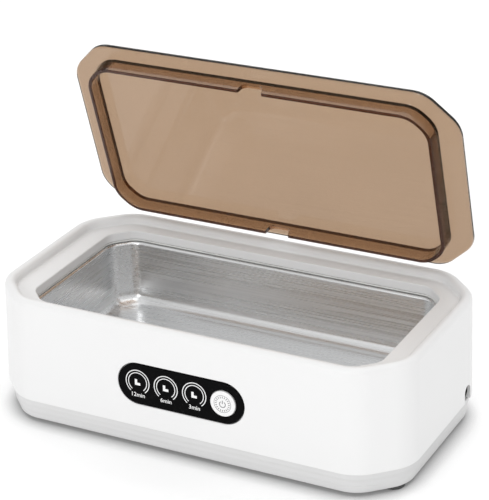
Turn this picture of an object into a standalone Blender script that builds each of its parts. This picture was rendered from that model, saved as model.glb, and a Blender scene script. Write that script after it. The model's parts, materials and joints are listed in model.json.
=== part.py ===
"""A bench-top ultrasonic cleaner, in metres, +Z up, front towards -Y, length along X.

The origin is on the table under the middle of the machine. The lid stands open at rest.
"""

import math

import bmesh
import bpy
from mathutils import Matrix, Vector

MM = 0.001
GAP = 0.3 * MM

# Housing. Its walls lean in by the mould draft, from the parting line up to the rounded rim.
BODY_LENGTH = 210 * MM
BODY_WIDTH = 114 * MM
BODY_HEIGHT = 63.4 * MM
PARTING_Z = 12.5 * MM
WALL_DRAFT = 0.9 * MM
BODY_CHAMFER = 19 * MM
BODY_BLEND = 20 * MM
WALL = 2.2 * MM
RIM_RADIUS = 2.75 * MM
RIM_Z = BODY_HEIGHT - RIM_RADIUS
RIM_LENGTH = BODY_LENGTH - 2 * WALL_DRAFT
RIM_WIDTH = BODY_WIDTH - 2 * WALL_DRAFT
SHELF_DEPTH = 4.3 * MM
SHELF_THICKNESS = 2.2 * MM
SHELF_FALL = 0.35 * MM
SHELF_FILLET = 0.6 * MM

# Mouth of the tub, inside the shelf, and the lip that hangs from it.
MOUTH_LENGTH = 175.8 * MM
MOUTH_WIDTH = 87.8 * MM
MOUTH_CHAMFER = 9.4 * MM
MOUTH_BLEND = 9 * MM
MOUTH_ROUND = 0.6 * MM
LIP_THICKNESS = 2 * MM
LIP_BOTTOM_Z = 54.4 * MM

# Drawn steel tank, sealed to the lip by a ring of silicone.
SEAL_THICKNESS = 1 * MM
TANK_FLANGE_Z = LIP_BOTTOM_Z - 2 * GAP - SEAL_THICKNESS
TANK_FLANGE = 2.6 * MM
TANK_SHEET = 0.8 * MM
TANK_OUTSET = 0.4 * MM
TANK_DRAFT = 2 * MM
TANK_FLOOR_Z = 21 * MM
TANK_FLOOR_ROUND = 6 * MM

# Bottom cover: a tray with a tapered band below the parting line and a lip inside the wall.
FOOT_HEIGHT = 2 * MM
COVER_TAPER = 1.4 * MM
COVER_RECESS = 1.2 * MM
COVER_FLOOR = 2.2 * MM
COVER_LIP = 1.3 * MM
COVER_LIP_TOP_Z = 15.6 * MM
COVER_EDGE = 0.8 * MM

# Lid: a plate that lies on the shelf inside the rim, with a plug that enters the mouth.
LID_LENGTH = 196.6 * MM
LID_WIDTH = 100.4 * MM
LID_CHAMFER = 15.8 * MM
LID_BLEND = 14.5 * MM
LID_THICKNESS = 2.8 * MM
LID_PLUG_LENGTH = 175 * MM
LID_PLUG_WIDTH = 87 * MM
LID_PLUG_CHAMFER = 9.2 * MM
LID_PLUG_BLEND = 13 * MM
LID_PLUG_DEPTH = 7.8 * MM
LID_PLUG_DRAFT = 0.4 * MM
LID_PLUG_WALL = 1.8 * MM
LID_NOTCH_WIDTH = 10.6 * MM
LID_NOTCH_DEPTH = 5.2 * MM
LID_NOTCH_SHOULDER = 1.5 * MM
LID_NOTCH_TAPER = 2 * MM
LID_OPEN = math.radians(72)
LID_AXIS = Vector((0, RIM_WIDTH / 2, RIM_Z))
LID_CLOSED_Z = BODY_HEIGHT - SHELF_DEPTH + GAP

# Control panel, a pill let into the front wall, with its button and display board.
PANEL_X = 0.5 * MM
PANEL_Z = 34.2 * MM
PANEL_LENGTH = 63.4 * MM
PANEL_HEIGHT = 20 * MM
PANEL_THICKNESS = 1.3 * MM
PANEL_PROUD = 0.3 * MM
PANEL_EDGE = 0.2 * MM
WINDOW_LENGTH = 60 * MM
WINDOW_HEIGHT = 17 * MM
WINDOW_DEPTH = 4 * MM
ICON_PITCH = 14.4 * MM
ICON_X = [-1.5 * ICON_PITCH, -0.5 * ICON_PITCH, 0.5 * ICON_PITCH]
ICON_RISE = 1 * MM
BUTTON_X = 1.5 * ICON_PITCH
BUTTON_RADIUS = 6.2 * MM
BUTTON_PROUD = 0.9 * MM
BUTTON_COLLAR_RADIUS = 7.6 * MM
BUTTON_COLLAR_THICKNESS = 1.2 * MM
BUTTON_STEM_RADIUS = 1.5 * MM
BUTTON_STEM_LENGTH = 1.5 * MM
BUTTON_EDGE = 0.4 * MM
PLUNGER_LENGTH = 2 * MM
SWITCH_SIDE = 6 * MM
LAMP_SIZE = Vector((3, 2, 1.2)) * MM
LAMP_BEVEL = 0.2 * MM
DISPLAY_FACE = -8.6 * MM
DISPLAY_SIZE = Vector((58, 27, 1.2)) * MM
DISPLAY_SCREWS = [(-25 * MM, 11 * MM), (25 * MM, -11 * MM)]
DISPLAY_SCREW_TIP = -4.6 * MM
DISPLAY_POST_RADIUS = 2.6 * MM
DISPLAY_POST_ROOT = -1.5 * MM

# Screw posts that tie the cover to the housing, each over one foot.
POST_X = 94.6 * MM
POST_Y = 35.5 * MM
POST_RADIUS = 3.6 * MM
POST_BOTTOM_Z = 7.3 * MM
POST_ROOT = 1.5 * MM
FOOT_RADIUS = 5.5 * MM
FOOT_EDGE = 0.6 * MM
FOOT_PEG_RADIUS = 3.1 * MM
BOSS_RADIUS = 6.2 * MM
BOSS_BORE_RADIUS = 1.8 * MM
COVER_SCREW_RADIUS = 1.45 * MM
COVER_SCREW_HEAD_RADIUS = 3 * MM
COVER_SCREW_HEAD_Z = 3.2 * MM
COVER_SCREW_HEAD_TOP_Z = 4.7 * MM
COVER_SCREW_TIP_Z = 16 * MM

# Driver board, on four standoffs of the cover.
BOARD_CENTRE = Vector((-52, 0)) * MM
BOARD_SIZE = Vector((80, 48, 1.6)) * MM
BOARD_Z = 7.3 * MM
BOARD_TOP = BOARD_Z + BOARD_SIZE.z
BOARD_HOLE = Vector((36.5, 20.5)) * MM
STANDOFF_RADIUS = 2.8 * MM
BOARD_SCREW_RADIUS = 0.9 * MM
BOARD_SCREW_HEAD_RADIUS = 1.9 * MM
BOARD_SCREW_HEAD = 1.1 * MM
BOARD_SCREW_TIP_Z = 4.9 * MM
BOARD_SCREW_HOLE = 1.3 * MM
HEADER_X = -30 * MM
HEADER_Y = {"supply": 15 * MM, "transducer": 0, "display": -15 * MM}
HEADER_SIZE = Vector((7, 7, 5)) * MM
PART_BEVEL = 0.3 * MM
PARTS_Z = BOARD_TOP + GAP
TRANSFORMER_X = -68 * MM
TRANSFORMER_RADIUS = 8 * MM
TRANSFORMER_CORE_RADIUS = 4 * MM
TRANSFORMER_HEIGHT = 9.6 * MM
TRANSFORMER_FLANGE = 1.4 * MM
WINDING_INNER_RADIUS = 4.4 * MM
WINDING_OUTER_RADIUS = 7.2 * MM
CAPACITOR_PLACE = Vector((-50 * MM, 13 * MM, PARTS_Z))
CAPACITOR_RADIUS = 4 * MM
CAPACITOR_HEIGHT = 9.7 * MM
CAPACITOR_EDGE = 0.4 * MM
FILM_PLACE = Vector((-48 * MM, -13 * MM, PARTS_Z))
FILM_SIZE = Vector((13, 5, 9)) * MM
FILM_BEVEL = 0.5 * MM
TRANSISTOR_PLACE = Vector((-75.5 * MM, -10.4 * MM, PARTS_Z))
TRANSISTOR_SIZE = Vector((10, 3.6, 9)) * MM
HEAT_SINK_HEIGHT = 10 * MM
SUPPLY_LEAD_RADIUS = 0.8 * MM
TRANSDUCER_LEAD_RADIUS = 0.6 * MM
DISPLAY_CABLE_RADIUS = 1.1 * MM

# Supply socket, in an arched notch of the right wall.
JACK_Y = 27.5 * MM
JACK_NOTCH_RADIUS = 3.5 * MM
JACK_Z = PARTING_Z + 8.3 * MM - JACK_NOTCH_RADIUS
JACK_BODY = Vector((11, 8, 8.4)) * MM
JACK_BODY_X = 94.5 * MM
JACK_FACE_X = 103.6 * MM
JACK_SOCKET_RADIUS = 2.75 * MM
JACK_SOCKET_DEPTH = 9.5 * MM
JACK_PIN_RADIUS = 1.05 * MM
JACK_PIN_SET_BACK = 1.2 * MM
ARCH_BOTTOM_Z = 6 * MM
LIP_NOTCH_SPREAD = 1.5 * MM
LIP_NOTCH_RISE = 6.6 * MM

# Transducer, bonded under the tank.
PIEZO_RADIUS = 25 * MM
PIEZO_THICKNESS = 2.6 * MM
BOND_THICKNESS = 0.3 * MM
PIEZO_TOP_Z = TANK_FLOOR_Z - TANK_SHEET - 2 * GAP - BOND_THICKNESS

CORNER_SEGMENTS = 3
ROUND_SIDES = 20


def clear_scene():
    for obj in list(bpy.data.objects):
        bpy.data.objects.remove(obj, do_unlink=True)


def make_material(name, colour, roughness, metallic=0.0, alpha=1.0):
    material = bpy.data.materials.new(name)
    material.use_nodes = True
    shader = material.node_tree.nodes["Principled BSDF"]
    shader.inputs["Base Color"].default_value = (*colour, 1)
    shader.inputs["Roughness"].default_value = roughness
    shader.inputs["Metallic"].default_value = metallic
    shader.inputs["Alpha"].default_value = alpha
    return material


def outline(length, width, chamfer, blend):
    """A rectangle with chamfered corners whose bends are arcs, anticlockwise from the front right."""
    x = length / 2
    y = width / 2
    corners = [
        Vector((x, -y + chamfer)),
        Vector((x, y - chamfer)),
        Vector((x - chamfer, y)),
        Vector((-x + chamfer, y)),
        Vector((-x, y - chamfer)),
        Vector((-x, -y + chamfer)),
        Vector((-x + chamfer, -y)),
        Vector((x - chamfer, -y)),
    ]
    points = []
    for index, corner in enumerate(corners):
        before = (corners[index - 1] - corner).normalized()
        after = (corners[(index + 1) % len(corners)] - corner).normalized()
        centre = corner + (before + after).normalized() * blend / math.cos(math.radians(22.5))
        start = math.radians(45 * (index - 1))
        for step in range(CORNER_SEGMENTS + 1):
            angle = start + math.radians(45) * step / CORNER_SEGMENTS
            points.append(centre + blend * Vector((math.cos(angle), math.sin(angle))))
    return points


def ring(length, width, chamfer, blend, z):
    return [Vector((p.x, p.y, z)) for p in outline(length, width, chamfer, blend)]


def inset_ring(length, width, chamfer, blend, inset, z):
    """The outline moved in by inset on every side, its chamfer and arcs parallel to the first."""
    cut = chamfer - inset * (2 - math.sqrt(2))
    return ring(length - 2 * inset, width - 2 * inset, cut, max(blend - inset, MM), z)


def body_ring(inset, z):
    """The housing's plan at height z, with the draft taken in, moved in by inset."""
    draft = WALL_DRAFT * (z - PARTING_Z) / (RIM_Z - PARTING_Z)
    return inset_ring(BODY_LENGTH, BODY_WIDTH, BODY_CHAMFER, BODY_BLEND, inset + draft, z)


def rim_ring(inset, z):
    return inset_ring(RIM_LENGTH, RIM_WIDTH, BODY_CHAMFER, BODY_BLEND, inset, z)


def mouth_ring(grow, z):
    return inset_ring(MOUTH_LENGTH, MOUTH_WIDTH, MOUTH_CHAMFER, MOUTH_BLEND, -grow, z)


def circle(radius, z, sides=ROUND_SIDES):
    return [
        Vector((radius * math.cos(a), radius * math.sin(a), z))
        for a in (2 * math.pi * i / sides for i in range(sides))
    ]


def pill(length, height, z, segments=12):
    """A bar with half-round ends, anticlockwise, in the plane at z."""
    radius = height / 2
    reach = length / 2 - radius
    points = []
    for side, start in ((1, -90), (-1, 90)):
        for step in range(segments + 1):
            angle = math.radians(start + 180 * step / segments)
            points.append(Vector((side * reach + radius * math.cos(angle), radius * math.sin(angle), z)))
    return points


def add_object(name, bm, material, parent=None):
    """A finished bmesh as an object whose faces point out, shaded smooth between sharp edges."""
    bmesh.ops.recalc_face_normals(bm, faces=bm.faces)
    mesh = bpy.data.meshes.new(name)
    bm.to_mesh(mesh)
    bm.free()
    mesh.shade_smooth()
    mesh.set_sharp_from_angle(angle=math.radians(35))
    if material:
        mesh.materials.append(material)
    obj = bpy.data.objects.new(name, mesh)
    bpy.context.scene.collection.objects.link(obj)
    obj.parent = parent
    return obj


def add_loft(bm, rings, loop=False):
    """Faces between rings of equal length: closed into a loop, or capped at both ends."""
    rows = [[bm.verts.new(point) for point in points] for points in rings]
    pairs = list(zip(rows, rows[1:]))
    if loop:
        pairs.append((rows[-1], rows[0]))
    for lower, upper in pairs:
        for i in range(len(lower)):
            j = (i + 1) % len(lower)
            bm.faces.new((lower[i], lower[j], upper[j], upper[i]))
    if not loop:
        bm.faces.new(list(reversed(rows[0])))
        bm.faces.new(rows[-1])


def loft(name, rings, material, loop=False, parent=None):
    bm = bmesh.new()
    add_loft(bm, rings, loop)
    return add_object(name, bm, material, parent)


def turned(name, profile, material, parent=None, sides=ROUND_SIDES, location=(0, 0, 0)):
    """A round solid on local Z from (radius, z) pairs, bottom to top."""
    obj = loft(name, [circle(radius, z, sides) for radius, z in profile], material, False, parent)
    obj.location = location
    return obj


def ring_solid(name, inner, outer, bottom, top, material, sides=24, location=(0, 0, 0)):
    section = ((outer, bottom), (outer, top), (inner, top), (inner, bottom))
    rings = [circle(radius, z, sides) for radius, z in section]
    obj = loft(name, rings, material, True)
    obj.location = location
    return obj


def box(name, size, centre, material, bevel=0.0, parent=None):
    bm = bmesh.new()
    bmesh.ops.create_cube(bm, size=1, matrix=Matrix.Diagonal((*size, 1)))
    if bevel:
        bmesh.ops.bevel(bm, geom=bm.edges[:], offset=bevel, segments=1, affect="EDGES")
    obj = add_object(name, bm, material, parent)
    obj.location = centre
    return obj


def tube(name, points, radius, material):
    """A wire through the points, smoothed, with closed ends."""
    curve = bpy.data.curves.new(name, "CURVE")
    curve.dimensions = "3D"
    curve.bevel_depth = radius
    curve.bevel_resolution = 1
    curve.use_fill_caps = True
    spline = curve.splines.new("POLY")
    route = smooth_route([Vector(point) * MM for point in points])
    spline.points.add(len(route) - 1)
    for target, point in zip(spline.points, route):
        target.co = (*point, 1)
    curve.materials.append(material)
    obj = bpy.data.objects.new(name, curve)
    bpy.context.scene.collection.objects.link(obj)
    return obj


def smooth_route(points, steps=4):
    """A Catmull-Rom curve through the points."""
    ends = [2 * points[0] - points[1], *points, 2 * points[-1] - points[-2]]
    route = [points[0]]
    for p0, p1, p2, p3 in zip(ends, ends[1:], ends[2:], ends[3:]):
        for step in range(1, steps + 1):
            t = step / steps
            linear = (p2 - p0) * t
            square = (2 * p0 - 5 * p1 + 4 * p2 - p3) * t**2
            cube = (3 * p1 - p0 - 3 * p2 + p3) * t**3
            route.append(p1 + (linear + square + cube) / 2)
    return route


def combine(target, operation, helpers):
    """Joins the helpers to the target, or cuts them from it. A helper isn't part of the model."""
    for helper in helpers:
        helper.hide_render = True
        helper.display_type = "WIRE"
        modifier = target.modifiers.new(helper.name, "BOOLEAN")
        modifier.operation = operation
        modifier.object = helper


def helper_group(name, solids, parent=None):
    """Separate closed solids in one helper mesh, each given as its list of rings."""
    bm = bmesh.new()
    for rings in solids:
        add_loft(bm, rings)
    return add_object(name, bm, None, parent)


def moved(rings, x, y):
    return [[point + Vector((x, y, 0)) for point in points] for points in rings]


def post_places():
    return [(sx * POST_X, sy * POST_Y) for sx in (-1, 1) for sy in (-1, 1)]


def standoff_places():
    centre = BOARD_CENTRE
    return [
        (centre.x + sx * BOARD_HOLE.x, centre.y + sy * BOARD_HOLE.y)
        for sx in (-1, 1)
        for sy in (-1, 1)
    ]


def make_panel_frame():
    """An empty on the front wall: local X along it, local Y up it, local Z straight out of it."""
    lean = math.atan2(WALL_DRAFT, RIM_Z - PARTING_Z)
    depth = BODY_WIDTH / 2 - (PANEL_Z - PARTING_Z) * math.tan(lean)
    frame = bpy.data.objects.new("front_wall_frame", None)
    frame.location = (PANEL_X, -depth, PANEL_Z)
    frame.rotation_euler.x = math.pi / 2 - lean
    bpy.context.scene.collection.objects.link(frame)
    return frame


def make_housing(material, panel_frame):
    shelf_z = BODY_HEIGHT - SHELF_DEPTH
    under_z = shelf_z - SHELF_FALL - SHELF_THICKNESS
    rim = []
    for step in range(7):
        angle = math.pi * step / 6
        inset = RIM_RADIUS * (1 - math.cos(angle))
        height = RIM_Z + RIM_RADIUS * math.sin(angle)
        rim.append(rim_ring(inset, height))
    foot = 2 * RIM_RADIUS
    shelf = [
        rim_ring(foot + 0.4 * SHELF_FILLET, shelf_z + 0.5 * SHELF_FILLET),
        rim_ring(foot + SHELF_FILLET, shelf_z),
    ]
    mouth = [
        mouth_ring(MOUTH_ROUND, shelf_z - SHELF_FALL),
        mouth_ring(0, shelf_z - SHELF_FALL - MOUTH_ROUND),
        mouth_ring(0, LIP_BOTTOM_Z),
        mouth_ring(LIP_THICKNESS, LIP_BOTTOM_Z),
        mouth_ring(LIP_THICKNESS, under_z),
    ]
    inside = [body_ring(WALL, under_z), body_ring(WALL, PARTING_Z)]
    rings = [body_ring(0, PARTING_Z), *rim, *shelf, *mouth, *inside]
    housing = loft("upper_housing", rings, material, True)
    add_housing_posts(housing, panel_frame)
    cut_housing(housing, panel_frame)
    return housing


def add_housing_posts(housing, panel_frame):
    shelf_z = BODY_HEIGHT - SHELF_DEPTH
    post = [circle(POST_RADIUS, POST_BOTTOM_Z), circle(POST_RADIUS, shelf_z - POST_ROOT)]
    posts = helper_group("post_helper", [moved(post, x, y) for x, y in post_places()])
    board_post = [
        circle(DISPLAY_POST_RADIUS, DISPLAY_FACE + GAP),
        circle(DISPLAY_POST_RADIUS, DISPLAY_POST_ROOT),
    ]
    board_posts = [moved(board_post, x, y) for x, y in DISPLAY_SCREWS]
    combine(housing, "UNION", [posts, helper_group("display_post_helper", board_posts, panel_frame)])


def cut_housing(housing, panel_frame):
    pilot_radius = COVER_SCREW_RADIUS + GAP
    pilot = [
        circle(pilot_radius, POST_BOTTOM_Z - MM),
        circle(pilot_radius, COVER_SCREW_TIP_Z + 2 * MM),
    ]
    pilots = helper_group("pilot_cutter", [moved(pilot, x, y) for x, y in post_places()])
    pocket_z = PANEL_PROUD - PANEL_THICKNESS - GAP
    pocket = helper_group(
        "panel_pocket_cutter",
        [
            [
                pill(WINDOW_LENGTH, WINDOW_HEIGHT, -WINDOW_DEPTH),
                pill(WINDOW_LENGTH, WINDOW_HEIGHT, pocket_z),
                pill(PANEL_LENGTH + 2 * GAP, PANEL_HEIGHT + 2 * GAP, pocket_z),
                pill(PANEL_LENGTH + 2 * GAP, PANEL_HEIGHT + 2 * GAP, MM),
            ]
        ],
        panel_frame,
    )
    hole_radius = BOARD_SCREW_RADIUS + GAP
    screw_hole = [
        circle(hole_radius, DISPLAY_FACE - MM),
        circle(hole_radius, DISPLAY_SCREW_TIP + 4 * GAP),
    ]
    screw_holes = [moved(screw_hole, x, y) for x, y in DISPLAY_SCREWS]
    holes = helper_group("display_pilot_cutter", screw_holes, panel_frame)
    wall_x = BODY_LENGTH / 2
    arch = arch_prism(JACK_NOTCH_RADIUS, wall_x - 5 * MM, wall_x + 5 * MM)
    notch = helper_group("jack_notch_cutter", [arch])
    combine(housing, "DIFFERENCE", [pilots, pocket, holes, notch])


def arch_prism(radius, x_start, x_end):
    """An upright arch at the socket, extruded along X, reaching well below the parting line."""
    section = [Vector((JACK_Y + side * radius, ARCH_BOTTOM_Z)) for side in (-1, 1)]
    for step in range(9):
        angle = math.pi * step / 8
        section.append(Vector((JACK_Y + radius * math.cos(angle), JACK_Z + radius * math.sin(angle))))
    return [[Vector((x, p.x, p.y)) for p in section] for x in (x_start, x_end)]


def make_bottom_cover(material):
    band_top = PARTING_Z - GAP

    def cover_ring(inset, z):
        return inset_ring(BODY_LENGTH, BODY_WIDTH, BODY_CHAMFER, BODY_BLEND, inset, z)

    lip = WALL + GAP
    low = COVER_RECESS + COVER_TAPER
    floor_top = FOOT_HEIGHT + COVER_FLOOR
    rings = [
        cover_ring(low + COVER_EDGE, FOOT_HEIGHT),
        cover_ring(low, FOOT_HEIGHT + COVER_EDGE),
        cover_ring(COVER_RECESS, band_top),
        cover_ring(lip, band_top),
        cover_ring(lip, COVER_LIP_TOP_Z),
        cover_ring(lip + COVER_LIP, COVER_LIP_TOP_Z),
        cover_ring(lip + COVER_LIP + MM, floor_top),
    ]
    cover = loft("bottom_cover", rings, material)
    add_cover_bosses(cover, floor_top)
    cut_cover(cover)
    return cover


def add_cover_bosses(cover, floor_top):
    boss = [circle(BOSS_RADIUS, FOOT_HEIGHT + 0.5 * MM), circle(BOSS_RADIUS, POST_BOTTOM_Z - GAP)]
    bosses = helper_group("foot_boss_helper", [moved(boss, x, y) for x, y in post_places()])
    standoff = [circle(STANDOFF_RADIUS, floor_top - MM), circle(STANDOFF_RADIUS, BOARD_Z - GAP)]
    standoffs = helper_group("standoff_helper", [moved(standoff, x, y) for x, y in standoff_places()])
    cradle_top = JACK_Z - JACK_BODY.z / 2 - GAP
    cradle_base = floor_top - MM
    cradle = box(
        "jack_cradle_helper",
        (JACK_BODY.x, JACK_BODY.y, cradle_top - cradle_base),
        (JACK_BODY_X, JACK_Y - 2 * MM, (cradle_top + cradle_base) / 2),
        None,
    )
    combine(cover, "UNION", [bosses, standoffs, cradle])


def cut_cover(cover):
    wide = FOOT_PEG_RADIUS + GAP
    ledge = COVER_SCREW_HEAD_TOP_Z + GAP
    bore = [
        circle(wide, FOOT_HEIGHT - MM),
        circle(wide, ledge),
        circle(BOSS_BORE_RADIUS, ledge),
        circle(BOSS_BORE_RADIUS, POST_BOTTOM_Z + MM),
    ]
    bores = helper_group("screw_bore_cutter", [moved(bore, x, y) for x, y in post_places()])
    pilot_radius = BOARD_SCREW_RADIUS + GAP
    pilot = [circle(pilot_radius, BOARD_SCREW_TIP_Z - GAP), circle(pilot_radius, BOARD_Z + MM)]
    pilots = helper_group("standoff_pilot_cutter", [moved(pilot, x, y) for x, y in standoff_places()])
    lip_x = BODY_LENGTH / 2 - WALL - GAP
    notch = arch_prism(JACK_NOTCH_RADIUS + LIP_NOTCH_SPREAD, lip_x - COVER_LIP - MM, lip_x + 0.5 * MM)
    notch = [[p + Vector((0, 0, LIP_NOTCH_RISE)) for p in points] for points in notch]
    combine(cover, "DIFFERENCE", [bores, pilots, helper_group("lip_notch_cutter", [notch])])


def make_tank(material):
    def tank_ring(inset, z):
        return mouth_ring(TANK_OUTSET - inset, z)

    wall_top = TANK_FLANGE_Z - 2 * TANK_SHEET
    inside = [tank_ring(TANK_DRAFT + TANK_FLOOR_ROUND, TANK_FLOOR_Z)]
    outside = [tank_ring(TANK_DRAFT + TANK_FLOOR_ROUND, TANK_FLOOR_Z - TANK_SHEET)]
    for step in range(1, 4):
        angle = math.pi / 2 * step / 3
        reach = TANK_FLOOR_ROUND * (1 - math.sin(angle))
        rise = TANK_FLOOR_ROUND * (1 - math.cos(angle))
        inset = TANK_DRAFT + reach
        inside.append(tank_ring(inset, TANK_FLOOR_Z + rise))
        outside.append(
            tank_ring(
                inset - TANK_SHEET * math.sin(angle),
                TANK_FLOOR_Z + rise - TANK_SHEET * math.cos(angle),
            )
        )
    inside += [
        tank_ring(TANK_SHEET, wall_top),
        tank_ring(0.2 * TANK_SHEET, TANK_FLANGE_Z - 0.4 * TANK_SHEET),
        tank_ring(-TANK_SHEET, TANK_FLANGE_Z),
        mouth_ring(TANK_FLANGE, TANK_FLANGE_Z),
    ]
    outside += [
        tank_ring(0, wall_top),
        tank_ring(-TANK_SHEET, TANK_FLANGE_Z - TANK_SHEET),
        mouth_ring(TANK_FLANGE, TANK_FLANGE_Z - TANK_SHEET),
    ]
    return loft("steel_tank", inside + outside[::-1], material)


def make_tank_seal(material):
    bottom = TANK_FLANGE_Z + GAP
    top = bottom + SEAL_THICKNESS
    inner = GAP
    outer = LIP_THICKNESS
    rings = [
        mouth_ring(inner, bottom),
        mouth_ring(outer, bottom),
        mouth_ring(outer, top),
        mouth_ring(inner, top),
    ]
    return loft("tank_seal", rings, material, True)


def make_lid(material):
    """Modelled shut, with its origin on the line that it tips about, then turned open."""

    def plate_ring(inset, z):
        return inset_ring(LID_LENGTH, LID_WIDTH, LID_CHAMFER, LID_BLEND, inset, LID_CLOSED_Z + z)

    def plug_ring(inset, z):
        size = (LID_PLUG_LENGTH, LID_PLUG_WIDTH, LID_PLUG_CHAMFER, LID_PLUG_BLEND)
        return inset_ring(*size, inset, LID_CLOSED_Z + z)

    half = LID_THICKNESS / 2
    edge = []
    for step in range(5):
        angle = math.pi / 2 - math.pi * step / 4
        edge.append(plate_ring(half * (1 - math.cos(angle)), half + half * math.sin(angle)))
    plug = [
        plug_ring(0, 0),
        plug_ring(LID_PLUG_DRAFT, -LID_PLUG_DEPTH),
        plug_ring(LID_PLUG_DRAFT + LID_PLUG_WALL, -LID_PLUG_DEPTH),
        plug_ring(LID_PLUG_WALL + 2 * LID_PLUG_DRAFT, 0),
    ]
    rings = [[point - LID_AXIS for point in points] for points in edge + plug]
    lid = loft("lid", rings, material)
    lid.location = LID_AXIS
    lid.rotation_euler.x = -LID_OPEN
    combine(lid, "DIFFERENCE", [make_lid_notches(lid)])
    return lid


def make_lid_notches(lid):
    """One bar across the plug's front and back walls, wider at its open side."""
    low = LID_CLOSED_Z - LID_PLUG_DEPTH - MM
    high = LID_CLOSED_Z - LID_PLUG_DEPTH + LID_NOTCH_DEPTH
    mid = high - LID_NOTCH_SHOULDER
    wide = LID_NOTCH_WIDTH / 2
    narrow = wide - LID_NOTCH_TAPER
    section = [(-wide - MM, low), (wide + MM, low), (wide, mid), (narrow, high), (-narrow, high), (-wide, mid)]
    rings = [
        [Vector((x, y, z)) - LID_AXIS for x, z in section]
        for y in (-LID_WIDTH / 2, LID_WIDTH / 2)
    ]
    return helper_group("lid_notch_cutter", [rings], lid)


def make_panel(material, frame):
    back = PANEL_PROUD - PANEL_THICKNESS
    rings = [
        pill(PANEL_LENGTH, PANEL_HEIGHT, back),
        pill(PANEL_LENGTH, PANEL_HEIGHT, PANEL_PROUD - PANEL_EDGE),
        pill(PANEL_LENGTH - 2 * PANEL_EDGE, PANEL_HEIGHT - 2 * PANEL_EDGE, PANEL_PROUD),
    ]
    panel = loft("control_panel", rings, material, False, frame)
    hole = [circle(BUTTON_RADIUS + GAP, back - MM, 32), circle(BUTTON_RADIUS + GAP, PANEL_PROUD + MM, 32)]
    cutter = helper_group("button_hole_cutter", [moved(hole, BUTTON_X, 0)], frame)
    combine(panel, "DIFFERENCE", [cutter])
    return panel


def make_button(material, plunger_material, frame):
    back = PANEL_PROUD - PANEL_THICKNESS - GAP
    collar = back - BUTTON_COLLAR_THICKNESS
    stem_end = collar - BUTTON_STEM_LENGTH
    profile = [
        (BUTTON_STEM_RADIUS, stem_end),
        (BUTTON_STEM_RADIUS, collar),
        (BUTTON_COLLAR_RADIUS, collar),
        (BUTTON_COLLAR_RADIUS, back),
        (BUTTON_RADIUS, back),
        (BUTTON_RADIUS, BUTTON_PROUD - BUTTON_EDGE),
        (BUTTON_RADIUS - BUTTON_EDGE, BUTTON_PROUD),
    ]
    turned("power_button", profile, material, frame, 32, (BUTTON_X, 0, 0))
    top = stem_end - GAP
    plunger = [(BUTTON_STEM_RADIUS, top - PLUNGER_LENGTH), (BUTTON_STEM_RADIUS, top)]
    turned("switch_plunger", plunger, plunger_material, frame, 16, (BUTTON_X, 0, 0))
    return top


def make_switch(material, frame, plunger_top):
    top = plunger_top - MM
    bottom = DISPLAY_FACE + GAP
    centre = (BUTTON_X, 0, (top + bottom) / 2)
    size = (SWITCH_SIDE, SWITCH_SIDE, top - bottom)
    switch = box("switch_body", size, centre, material, PART_BEVEL, frame)
    radius = BUTTON_STEM_RADIUS + GAP
    well = [circle(radius, top - PLUNGER_LENGTH, 16), circle(radius, top + MM, 16)]
    cutter = helper_group("switch_well_cutter", [moved(well, BUTTON_X, 0)], frame)
    combine(switch, "DIFFERENCE", [cutter])
    return switch


def make_display(board_material, lamp_material, screw_material, frame):
    centre = (0, 0, DISPLAY_FACE - DISPLAY_SIZE.z / 2)
    board = box("display_board", DISPLAY_SIZE, centre, board_material, 0, frame)
    below = DISPLAY_FACE - DISPLAY_SIZE.z - MM
    hole = [circle(BOARD_SCREW_HOLE, below), circle(BOARD_SCREW_HOLE, DISPLAY_FACE + MM)]
    cutter = helper_group("display_hole_cutter", [moved(hole, x, y) for x, y in DISPLAY_SCREWS], frame)
    combine(board, "DIFFERENCE", [cutter])
    for minutes, x in zip((12, 6, 3), ICON_X):
        lamp_centre = (x, ICON_RISE, DISPLAY_FACE + GAP + LAMP_SIZE.z / 2)
        box(f"timer_lamp_{minutes}", LAMP_SIZE, lamp_centre, lamp_material, LAMP_BEVEL, frame)
    back = DISPLAY_FACE - DISPLAY_SIZE.z - GAP
    for side, (x, y) in zip(("left", "right"), DISPLAY_SCREWS):
        profile = [
            (BOARD_SCREW_HEAD_RADIUS, back - BOARD_SCREW_HEAD),
            (BOARD_SCREW_HEAD_RADIUS, back),
            (BOARD_SCREW_RADIUS, back),
            (BOARD_SCREW_RADIUS, DISPLAY_SCREW_TIP),
        ]
        turned(f"display_screw_{side}", profile, screw_material, frame, 12, (x, y, 0))


def make_feet_and_screws(foot_material, screw_material):
    names = ("left_front", "left_rear", "right_front", "right_rear")
    for name, (x, y) in zip(names, post_places()):
        foot = [
            (FOOT_RADIUS - FOOT_EDGE, 0),
            (FOOT_RADIUS, FOOT_EDGE),
            (FOOT_RADIUS, FOOT_HEIGHT - GAP),
            (FOOT_PEG_RADIUS, FOOT_HEIGHT - GAP),
            (FOOT_PEG_RADIUS, COVER_SCREW_HEAD_Z - GAP),
        ]
        turned(f"foot_{name}", foot, foot_material, None, ROUND_SIDES, (x, y, 0))
        screw = [
            (COVER_SCREW_HEAD_RADIUS, COVER_SCREW_HEAD_Z),
            (COVER_SCREW_HEAD_RADIUS, COVER_SCREW_HEAD_TOP_Z),
            (COVER_SCREW_RADIUS, COVER_SCREW_HEAD_TOP_Z),
            (COVER_SCREW_RADIUS, COVER_SCREW_TIP_Z),
        ]
        turned(f"cover_screw_{name}", screw, screw_material, None, 12, (x, y, 0))


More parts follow.
